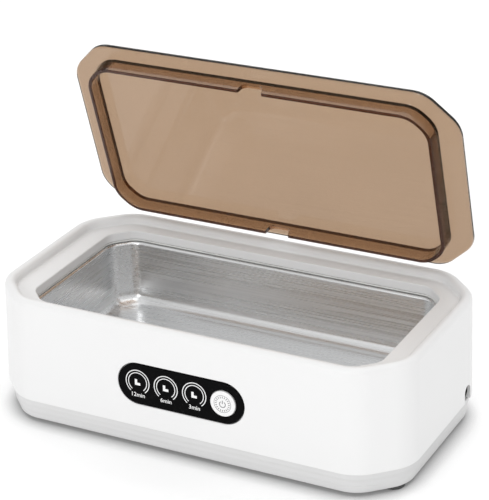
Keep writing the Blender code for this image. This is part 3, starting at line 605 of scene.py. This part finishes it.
def smooth(obj):
    """Smooth shading between sharp edges, with flat faces kept flat."""
    obj.data.shade_smooth()
    obj.data.set_sharp_from_angle(angle=math.radians(SHARP_ANGLE))
    modifier = obj.modifiers.new("flat_faces", "WEIGHTED_NORMAL")
    modifier.keep_sharp = True
    return obj


def finish_piece(obj, body, slot, *nodes):
    """Smooths a visible piece, says what it moves with, and hides the CAD nodes it stands for. The slot
    argument is not used.
    """
    smooth(obj)
    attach(obj, body)
    if nodes:
        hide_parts(*nodes)
    return obj


def post_places():
    return [(sx * POST_X, sy * POST_Y) for sx in (-1, 1) for sy in (-1, 1)]


def front_wall_matrix():
    """Local X along the front wall, Y up it and Z straight out of it, from the panel's middle."""
    lean = math.atan2(WALL_DRAFT, RIM_Z - PARTING_Z)
    depth = BODY_WIDTH / 2 - (PANEL_Z - PARTING_Z) * math.tan(lean)
    place = Matrix.Translation((PANEL_X, -depth, PANEL_Z))
    return place @ Matrix.Rotation(math.pi / 2 - lean, 4, "X")


# ---------------------------------------------------------------- housing and base


def make_housing(material, wall):
    """One shell: the wall, its rounded rim, the sunk shelf and the mouth, with four screw posts."""
    under_z = SHELF_Z - SHELF_FALL - SHELF_THICKNESS
    edge = 0.35 * MM
    rim_width = 2 * RIM_RADIUS
    fillet = 0.9 * MM
    mouth_top = SHELF_Z - SHELF_FALL
    lip_round = 0.3 * MM
    rings = rounded(body_ring, edge, PARTING_Z + edge, edge, 270, 180, 4)
    rings += rounded(rim_ring, RIM_RADIUS, RIM_Z, RIM_RADIUS, 180, 0, 20)
    rings += rounded(rim_ring, rim_width + fillet, SHELF_Z + fillet, fillet, 180, 270, 6)
    top_arc = arc((-MOUTH_ROUND, mouth_top - MOUTH_ROUND), MOUTH_ROUND, 90, 0, 8)
    lip_arc = arc((-lip_round, LIP_BOTTOM_Z + lip_round), lip_round, 0, -90, 4)
    rings += [mouth_ring(-i, z) for i, z in top_arc + lip_arc]
    rings += [mouth_ring(LIP_THICKNESS, LIP_BOTTOM_Z), mouth_ring(LIP_THICKNESS, under_z)]
    rings += [body_ring(WALL, under_z), body_ring(WALL, PARTING_Z)]
    housing = loft("housing_shell", rings, material, True)
    post = [circle(POST_RADIUS, z, POST_SIDES) for z in (POST_BOTTOM_Z, POST_TOP_Z)]
    hole = [circle(POST_HOLE_RADIUS, z, SCREW_SIDES) for z in (POST_BOTTOM_Z - MM, POST_HOLE_TOP_Z)]
    carve(
        housing,
        union=[group("posts", [moved(post, x, y) for x, y in post_places()])],
        difference=[
            group("post_holes", [moved(hole, x, y) for x, y in post_places()]),
            panel_pocket(wall),
            group("jack_notch", [arch_prism(JACK_NOTCH_RADIUS, NOTCH_START_X, NOTCH_END_X)]),
        ],
    )
    return finish_piece(housing, "housing", "white_plastic", "upper_housing")


def panel_pocket(wall):
    """The recess that the panel sits in, with a rounded edge, and the window behind it."""
    back = PANEL_PROUD - PANEL_THICKNESS - GAP
    round_edge = 0.35 * MM
    through_wall = -4 * MM
    length = PANEL_LENGTH + 2 * GAP
    height = PANEL_HEIGHT + 2 * GAP
    rings = [
        pill(WINDOW_LENGTH, WINDOW_HEIGHT, through_wall),
        pill(WINDOW_LENGTH, WINDOW_HEIGHT, back),
        pill(length, height, back),
    ]
    for out, z in arc((round_edge, -round_edge), round_edge, 180, 90, 5):
        rings.append(pill(length + 2 * out, height + 2 * out, z))
    rings.append(pill(length + 4 * round_edge, height + 4 * round_edge, MM))
    return group("panel_pocket", [rings], wall)


def arch_prism(radius, x_start, x_end, rise=0.0):
    """An upright arch round the socket, extruded along X and raised by rise."""
    section = [(JACK_Y - radius, ARCH_BOTTOM_Z), (JACK_Y + radius, ARCH_BOTTOM_Z)]
    section += arc((JACK_Y, JACK_Z), radius, 0, 180, 24)
    return [[Vector((x, y, z + rise)) for y, z in section] for x in (x_start, x_end)]


def make_base(material):
    """The tray under the housing. Two small steps run round its tapered band."""
    band_top = PARTING_Z - GAP
    lip = WALL + GAP
    low = COVER_RECESS + COVER_TAPER
    floor_top = FOOT_HEIGHT + COVER_FLOOR
    lean = (COVER_TAPER - COVER_STEP * (COVER_BANDS - 1)) / COVER_BANDS
    band_bottom = FOOT_HEIGHT + COVER_EDGE
    pitch = (band_top - band_bottom) / COVER_BANDS
    rings = rounded(cover_ring, low + COVER_EDGE, band_bottom, COVER_EDGE, 270, 180, 6)
    for index in range(COVER_BANDS):
        start = low - index * (lean + COVER_STEP)
        bottom = band_bottom + index * pitch
        if index:
            rings.append(cover_ring(start + COVER_STEP_BEVEL, bottom - COVER_STEP_BEVEL_HEIGHT))
            rings.append(cover_ring(start, bottom))
        if index < COVER_BANDS - 1:
            rings.append(cover_ring(start - lean, bottom + pitch - COVER_STEP_HEIGHT))
    edge = COVER_TOP_EDGE
    rings += rounded(cover_ring, COVER_RECESS + edge, band_top - edge, edge, 180, 90, 4)
    rings += [
        cover_ring(lip, band_top),
        cover_ring(lip, COVER_LIP_TOP_Z),
        cover_ring(lip + COVER_LIP, COVER_LIP_TOP_Z),
        cover_ring(lip + COVER_LIP + MM, floor_top),
    ]
    base = loft("base_tray", rings, material)
    boss_bottom = FOOT_HEIGHT + 0.5 * MM
    boss_top = POST_BOTTOM_Z - GAP
    boss = [circle(BOSS_RADIUS, z, POST_SIDES) for z in (boss_bottom, boss_top)]
    bore = [circle(BOSS_BORE_RADIUS, z, POST_SIDES) for z in (FOOT_HEIGHT - MM, BOSS_BORE_TOP_Z)]
    bore += [circle(BOSS_HOLE_RADIUS, z, POST_SIDES) for z in (BOSS_BORE_TOP_Z, boss_top + MM)]
    notch_radius = JACK_NOTCH_RADIUS + LIP_NOTCH_MARGIN
    notch = arch_prism(notch_radius, LIP_NOTCH_START_X, LIP_NOTCH_END_X, LIP_NOTCH_RISE)
    carve(
        base,
        union=[group("bosses", [moved(boss, x, y) for x, y in post_places()])],
        difference=[
            group("bores", [moved(bore, x, y) for x, y in post_places()]),
            group("lip_notch", [notch]),
        ],
    )
    return finish_piece(base, "housing", "grey_plastic", "bottom_cover")


def make_feet(material):
    """Rubber feet with rounded treads, each on a stem that sits in its boss."""
    names = ("left_front", "left_rear", "right_front", "right_rear")
    top = FOOT_HEIGHT - GAP
    low_edge = 0.6 * MM
    top_edge = 0.2 * MM
    tread_middle = 0.4 * MM
    profile = [(tread_middle, 0)]
    profile += arc((FOOT_RADIUS - low_edge, low_edge), low_edge, 270, 360, 5)
    profile += arc((FOOT_RADIUS - top_edge, top - top_edge), top_edge, 0, 90, 3)
    profile += [(FOOT_STEM_RADIUS, top), (FOOT_STEM_RADIUS, FOOT_STEM_TOP_Z)]
    for name, (x, y) in zip(names, post_places()):
        foot = turned(f"foot_pad_{name}", profile, material, Matrix.Translation((x, y, 0)))
        finish_piece(foot, "housing", "rubber", f"foot_{name}")


# ---------------------------------------------------------------- tank and seal


def make_tank(material):
    """A drawn tank: flat floor, rounded into walls that widen a little up to a turned-out flange."""
    steps = 8
    bend = 2 * TANK_SHEET
    inside = []
    outside = []
    for step in range(steps + 1):
        angle = math.pi / 2 * step / steps
        grow = TANK_OUTSET - TANK_DRAFT - TANK_FLOOR_ROUND * (1 - math.sin(angle))
        height = TANK_FLOOR_Z + TANK_FLOOR_ROUND * (1 - math.cos(angle))
        inside.append(mouth_ring(grow, height))
        outer = grow + TANK_SHEET * math.sin(angle)
        outside.append(mouth_ring(outer, height - TANK_SHEET * math.cos(angle)))
    top_arc = arc((TANK_OUTSET + TANK_SHEET, TANK_FLANGE_Z - bend), bend, 180, 90, 6)
    inside += [mouth_ring(grow, z) for grow, z in top_arc]
    inside.append(mouth_ring(TANK_FLANGE, TANK_FLANGE_Z))
    outside += [
        mouth_ring(TANK_OUTSET, TANK_FLANGE_Z - bend),
        mouth_ring(TANK_OUTSET + TANK_SHEET, TANK_FLANGE_Z - TANK_SHEET),
        mouth_ring(TANK_FLANGE, TANK_FLANGE_Z - TANK_SHEET),
    ]
    tank = loft("tank_basin", inside + outside[::-1], material)
    return finish_piece(tank, "housing", "steel", "steel_tank")


def make_seal(material):
    """A flat ring under the mouth's lip, rounded along its inner edge."""
    bottom = TANK_FLANGE_Z + GAP
    half = SEAL_THICKNESS / 2
    inner = [mouth_ring(g, z) for g, z in arc((GAP + half, bottom + half), half, 270, 90, 8)]
    outer = [mouth_ring(LIP_THICKNESS, bottom + SEAL_THICKNESS), mouth_ring(LIP_THICKNESS, bottom)]
    seal = loft("tank_gasket", inner + outer, material, True)
    return finish_piece(seal, "housing", "silicone", "tank_seal")


# ---------------------------------------------------------------- lid


def make_lid(material):
    """A plate with a rounded top edge over a hollow plug.

    It is modelled shut, then tipped open about the line of the lid's joint.
    """
    hinge = next(joint for joint in frame["joints"] if joint["name"] == "lid_tip")
    place = Matrix.Translation(hinge["pos_m"])
    tip = Matrix.Rotation(-math.radians(hinge["range_deg"][1]), 4, "X")
    opened = place @ tip @ place.inverted()
    end = 0.35 * MM
    wall_end = LID_PLUG_DRAFT + LID_PLUG_WALL
    fillet = 0.5 * MM
    brow = 1.2 * MM
    slope = 0.9 * MM
    slope_steps = 12
    drop = LID_THICKNESS - brow
    rings = rounded(plate_ring, brow, drop, brow, 90, 180, 7)
    for step in range(1, slope_steps + 1):
        angle = math.pi / 2 * step / slope_steps
        rings.append(plate_ring(slope * (1 - math.cos(angle)), drop * (1 - math.sin(angle))))
    inside = wall_end + LID_PLUG_DRAFT
    end_z = end - LID_PLUG_DEPTH
    rings += rounded(plug_ring, -fillet, -fillet, fillet, 90, 0, 4)
    rings += rounded(plug_ring, LID_PLUG_DRAFT + end, end_z, end, 180, 270, 4)
    rings += rounded(plug_ring, wall_end - end, end_z, end, 270, 360, 4)
    rings += rounded(plug_ring, inside + fillet, -fillet, fillet, 180, 90, 4)
    lid = loft("lid_shell", rings, material)
    carve(lid, difference=[lid_notch()])
    lid.data.transform(opened)
    return finish_piece(lid, "lid", "brown_lid", "lid")


def lid_notch():
    """One bar across the plug's front and back walls, wider at its open side."""
    low = LID_CLOSED_Z - LID_PLUG_DEPTH - MM
    high = LID_CLOSED_Z - LID_PLUG_DEPTH + LID_NOTCH_DEPTH
    mid = high - LID_NOTCH_SHOULDER
    wide = LID_NOTCH_WIDTH / 2
    narrow = wide - LID_NOTCH_TAPER
    section = [
        (-wide - MM, low),
        (wide + MM, low),
        (wide, mid),
        (narrow, high),
        (-narrow, high),
        (-wide, mid),
    ]
    ends = (-LID_WIDTH / 2, LID_WIDTH / 2)
    return group("notch_bar", [[[Vector((x, y, z)) for x, z in section] for y in ends]])


# ---------------------------------------------------------------- control panel


def make_panel(material, wall):
    """The gloss face, with a rounded edge and a flared hole for the button."""
    back = PANEL_PROUD - PANEL_THICKNESS
    edge = 0.25 * MM
    rings = [pill(PANEL_LENGTH, PANEL_HEIGHT, back)]
    for out, z in arc((-edge, PANEL_PROUD - edge), edge, 0, 90, 6):
        rings.append(pill(PANEL_LENGTH + 2 * out, PANEL_HEIGHT + 2 * out, z))
    panel = loft("panel_face", rings, material, False, wall)
    bore = BUTTON_RADIUS + GAP
    flare = 0.15 * MM
    hole = [
        circle(bore, back - MM),
        circle(bore, PANEL_PROUD - flare),
        circle(bore + flare, PANEL_PROUD),
        circle(bore + 2 * flare, PANEL_PROUD + MM),
    ]
    carve(panel, difference=[group("button_hole", [moved(hole, BUTTON_X, 0)], wall)])
    return finish_piece(panel, "housing", "black_gloss", "control_panel")


def strip_ring(radius, width, start, end, steps):
    """A flat arc-shaped strip as its outline, anticlockwise."""
    outer = arc((0, 0), radius + width / 2, start, end, steps)
    inner = arc((0, 0), radius - width / 2, end, start, steps)
    return outer + inner


def add_flat(bm, section, x, y, z, thickness):
    """A thin solid with the given outline, its back at z."""
    add_loft(bm, [[Vector((a + x, b + y, height)) for a, b in section] for height in (z, z + thickness)])


def add_caption(bm, text, size, x, y, z):
    """Text centred on (x, y) as raised ink, a little bolder than the plain font, added to the bmesh."""
    half_ink = 0.015 * MM
    swell = 0.02 * MM
    lift = 0.02 * MM
    curve = bpy.data.curves.new("caption", "FONT")
    curve.body = text
    curve.size = size
    curve.align_x = "CENTER"
    curve.align_y = "CENTER"
    curve.extrude = half_ink
    curve.offset = swell
    helper = bpy.data.objects.new("caption", curve)
    bpy.context.scene.collection.objects.link(helper)
    graph = bpy.context.evaluated_depsgraph_get()
    graph.update()
    mesh = bpy.data.meshes.new_from_object(helper.evaluated_get(graph))
    mesh.transform(Matrix.Translation((x, y, z + lift)))
    bm.from_mesh(mesh)
    bpy.data.objects.remove(helper, do_unlink=True)
    bpy.data.meshes.remove(mesh)


def clock_hands():
    """An upright hand and a level one that meet at the lower left, as one outline."""
    inner_x = HAND_LEFT + UPRIGHT_HAND_WIDTH
    inner_y = HAND_BOTTOM + LEVEL_HAND_WIDTH
    return [
        (HAND_LEFT, HAND_BOTTOM),
        (HAND_RIGHT, HAND_BOTTOM),
        (HAND_RIGHT, inner_y),
        (inner_x, inner_y),
        (inner_x, HAND_TOP),
        (HAND_LEFT, HAND_TOP),
    ]


def make_timer_marks(material, wall):
    """For each time a dial of two open rings with clock hands, and its minutes under it."""
    ink = 0.03 * MM
    face = PANEL_PROUD + 0.01 * MM
    for minutes, place in zip((12, 6, 3), (-1.5, -0.5, 0.5)):
        bm = bmesh.new()
        x = place * ICON_PITCH
        for radius, width in DIAL_RINGS:
            dial = strip_ring(radius, width, DIAL_START, DIAL_END, DIAL_STEPS)
            add_flat(bm, dial, x, ICON_RISE, face, ink)
        add_flat(bm, clock_hands(), x, ICON_RISE, face, ink)
        add_caption(bm, f"{minutes}min", CAPTION_SIZE, x, ICON_RISE - CAPTION_DROP, face)
        marks = add_object(f"timer_marks_{minutes}", bm, material, wall)
        finish_piece(marks, "housing", "white_plastic")


def make_button(material, place):
    """A round cap with a collar behind the panel and a short stem."""
    back = PANEL_PROUD - PANEL_THICKNESS - GAP
    collar = back - BUTTON_COLLAR_THICKNESS
    edge = 0.5 * MM
    profile = [
        (BUTTON_STEM_RADIUS, collar - BUTTON_STEM_LENGTH),
        (BUTTON_STEM_RADIUS, collar),
        (BUTTON_COLLAR_RADIUS, collar),
        (BUTTON_COLLAR_RADIUS, back),
        (BUTTON_RADIUS, back),
    ]
    profile += arc((BUTTON_RADIUS - edge, BUTTON_PROUD - edge), edge, 0, 90, 6)
    cap = turned("button_cap", profile, material, place)
    return finish_piece(cap, "button", "white_plastic", "power_button")


def make_button_marks(material, place):
    """A thin ring, a ring of ticks inside it and a power symbol in the middle.

    The thin ring stops half a degree short of a full turn, so that it stays one outline.
    """
    bm = bmesh.new()
    face = BUTTON_PROUD + 0.005 * MM
    ink = 0.02 * MM
    add_flat(bm, strip_ring(EMBLEM_RADIUS, EMBLEM_LINE, 0, EMBLEM_END, EMBLEM_STEPS), 0, 0, face, ink)
    for index in range(EMBLEM_TICKS):
        start = index * 360 / EMBLEM_TICKS - EMBLEM_TICK_HALF_ANGLE
        end = start + 2 * EMBLEM_TICK_HALF_ANGLE
        add_flat(bm, strip_ring(EMBLEM_TICK_RADIUS, EMBLEM_TICK_LENGTH, start, end, 3), 0, 0, face, ink)
    symbol = strip_ring(POWER_RADIUS, POWER_LINE, POWER_START, POWER_END, POWER_STEPS)
    add_flat(bm, symbol, 0, -POWER_DROP, face, ink)
    half = POWER_LINE / 2
    stem = [(-half, 0), (half, 0), (half, POWER_STEM), (-half, POWER_STEM)]
    add_flat(bm, stem, 0, 0, face, ink)
    marks = add_object("button_marks", bm, material, place)
    return finish_piece(marks, "button", "grey_plastic")


# ---------------------------------------------------------------- supply socket


def x_circle(radius, x, sides):
    """A circle round the X axis, at x."""
    upright = Matrix.Rotation(math.pi / 2, 4, "Y")
    return [upright @ point for point in circle(radius, x, sides)]


def make_jack(material):
    """A barrel socket that looks out of the notch in the right wall."""
    centre = Matrix.Translation((0, JACK_Y, JACK_Z))
    bm = bmesh.new()
    bmesh.ops.create_cube(bm, size=1, matrix=Matrix.Diagonal((*JACK_BODY, 1)))
    bmesh.ops.bevel(bm, geom=bm.edges[:], offset=JACK_BODY_BEVEL, segments=3, affect="EDGES")
    jack = add_object("jack_body", bm, material, Matrix.Translation((JACK_BODY_X, JACK_Y, JACK_Z)))
    nose_radius = JACK_NOTCH_RADIUS - GAP
    edge = 0.3 * MM
    nose = [(nose_radius, JACK_BODY_X + JACK_BODY.x / 2 - MM)]
    nose += arc((nose_radius - edge, JACK_FACE_X - edge), edge, 0, 90, 4)
    socket = [(JACK_SOCKET_RADIUS, x) for x in (JACK_FACE_X - JACK_SOCKET_DEPTH, JACK_FACE_X + MM)]
    carve(
        jack,
        union=[group("nose", [[x_circle(r, x, JACK_SIDES) for r, x in nose]], centre)],
        difference=[group("socket", [[x_circle(r, x, JACK_SIDES) for r, x in socket]], centre)],
    )
    return finish_piece(jack, "housing", "dark_plastic", "supply_jack")


def make_jack_pin(material):
    """The pin in the middle of the socket, rounded at its tip."""
    profile = [(JACK_PIN_RADIUS, JACK_FACE_X - JACK_SOCKET_DEPTH + GAP)]
    tip = (JACK_PIN_RADIUS - JACK_PIN_ROUND, JACK_FACE_X - JACK_PIN_RECESS)
    profile += arc(tip, JACK_PIN_ROUND, 0, 80, 5)
    rings = [x_circle(radius, x, PIN_SIDES) for radius, x in profile]
    pin = loft("jack_pin", rings, material, False, Matrix.Translation((0, JACK_Y, JACK_Z)))
    return finish_piece(pin, "housing", "brass", "supply_jack_pin")


# ---------------------------------------------------------------- the CAD nodes that stay


def repaint(material, *nodes):
    for node in nodes:
        for slot in frame["nodes"][node].material_slots:
            slot.material = material


def paint_inner_parts():
    screws = [n for n in frame["nodes"] if "screw" in n]
    repaint(plated_metal("zinc_plate", (0.6, 0.6, 0.58), 0.34), *screws)
    repaint(solder_mask(), "driver_board", "display_board")
    repaint(moulded_part("black_moulding", (0.02, 0.02, 0.022), 0.45), "switch_body", "switch_plunger")
    repaint(moulded_part("epoxy_case", (0.03, 0.03, 0.032), 0.5), "drive_transistor")
    repaint(moulded_part("can_sleeve", (0.015, 0.02, 0.05), 0.35), "input_capacitor")
    repaint(moulded_part("film_case", (0.5, 0.18, 0.03), 0.4), "film_capacitor")
    repaint(moulded_part("ferrite_core", (0.05, 0.05, 0.052), 0.6), "transformer_core")
    repaint(wound_copper(), "transformer_winding")
    repaint(plated_metal("cast_aluminium", (0.7, 0.7, 0.71), 0.4), "heat_sink")
    headers = ("supply_header", "transducer_header", "display_header")
    repaint(moulded_part("header_nylon", (0.8, 0.76, 0.65), 0.45), *headers)
    repaint(soft_rubber("fired_ceramic", (0.74, 0.72, 0.67), 0.55), "piezo_transducer")
    repaint(soft_rubber("cured_bond", (0.2, 0.2, 0.19), 0.6), "transducer_bond")
    lamps = ("timer_lamp_12", "timer_lamp_6", "timer_lamp_3")
    repaint(moulded_part("lamp_lens", (0.88, 0.9, 0.93), 0.25), *lamps)
    for name, colour in (("red", (0.5, 0.02, 0.02)), ("black", (0.02, 0.02, 0.02))):
        sheath = wire_sheath(f"{name}_sheath", colour)
        repaint(sheath, f"supply_lead_{name}", f"transducer_lead_{name}")
    repaint(wire_sheath("grey_sheath", (0.36, 0.36, 0.37)), "display_cable")


# ---------------------------------------------------------------- studio

FLOOR_HALF = 4.0
FLOOR_DROP = 0.1 * MM
WORLD_STRENGTH = 0.75

# name, place, aim, size, watts
LIGHTS = (
    ("top", (0.25, -0.3, 1.25), (0, 0, 0.03), (0.8, 0.8), 2.4),
    ("key", (0.0, -1.25, 0.6), (0, 0, 0.03), (0.4, 0.4), 3.0),
    ("strip", (0.5, -1.15, 0.28), (0.08, -0.05, 0.04), (0.08, 0.5), 0.4),
    ("backdrop", (-0.5, 1.3, 1.5), (-0.5, 1.2, 0), (2.4, 1.6), 12),
)

CAMERA_PLACE = (0.39467, -0.75438, 0.46660)
CAMERA_TURN = 27.32
CAMERA_LOOK_DOWN = 24.38
CAMERA_ROLL = -1.205
CAMERA_LENS = 146.84
CAMERA_SENSOR = 36


def make_floor(material):
    bm = bmesh.new()
    bmesh.ops.create_grid(bm, x_segments=4, y_segments=4, size=FLOOR_HALF)
    floor = add_object("floor", bm, material, Matrix.Translation((0, 0, -FLOOR_DROP)))


def make_area_light(name, place, aim, size, power):
    light = bpy.data.lights.new(name, "AREA")
    light.shape = "RECTANGLE"
    light.size, light.size_y = size
    light.energy = power
    obj = bpy.data.objects.new(name, light)
    obj.location = place
    direction = Vector(aim) - Vector(place)
    obj.rotation_euler = direction.to_track_quat("-Z", "Y").to_euler()
    bpy.context.scene.collection.objects.link(obj)


def make_studio():
    make_floor(floor_paper())
    world = bpy.data.worlds.new("studio")
    world.use_nodes = True
    background = world.node_tree.nodes["Background"]
    background.inputs["Color"].default_value = (1, 1, 1, 1)
    background.inputs["Strength"].default_value = WORLD_STRENGTH
    bpy.context.scene.world = world
    for light in LIGHTS:
        make_area_light(*light)


def make_camera():
    data = bpy.data.cameras.new("camera")
    data.lens = CAMERA_LENS
    data.sensor_width = CAMERA_SENSOR
    data.clip_start = 0.01
    data.clip_end = 20
    camera = bpy.data.objects.new("camera", data)
    turn = Matrix.Rotation(math.radians(CAMERA_TURN), 4, "Z")
    tilt = Matrix.Rotation(math.radians(90 - CAMERA_LOOK_DOWN), 4, "X")
    roll = Matrix.Rotation(math.radians(CAMERA_ROLL), 4, "Z")
    camera.matrix_world = Matrix.Translation(CAMERA_PLACE) @ turn @ tilt @ roll
    bpy.context.scene.collection.objects.link(camera)
    bpy.context.scene.camera = camera


def main():
    make_camera()
    wall = front_wall_matrix()
    button_place = wall @ Matrix.Translation((BUTTON_X, 0, 0))
    make_housing(white_plastic(), wall)
    make_base(grey_plastic())
    make_feet(soft_rubber("foot_rubber", (0.07, 0.07, 0.07), 0.75))
    make_tank(brushed_steel())
    make_seal(soft_rubber("clear_silicone", (0.78, 0.78, 0.76), 0.5))
    make_lid(tinted_lid())
    make_panel(gloss_black(), wall)
    make_timer_marks(printed_ink("panel_ink", (0.88, 0.88, 0.88)), wall)
    make_button(button_white(), button_place)
    make_button_marks(printed_ink("button_ink", (0.2, 0.2, 0.21)), button_place)
    make_jack(moulded_part("jack_moulding", (0.02, 0.02, 0.02), 0.4))
    make_jack_pin(plated_metal("pin_brass", (0.75, 0.58, 0.3), 0.25))
    paint_inner_parts()
    make_studio()
    bpy.context.scene.view_settings.view_transform = "Standard"


main()
bpy.context.view_layer.update()
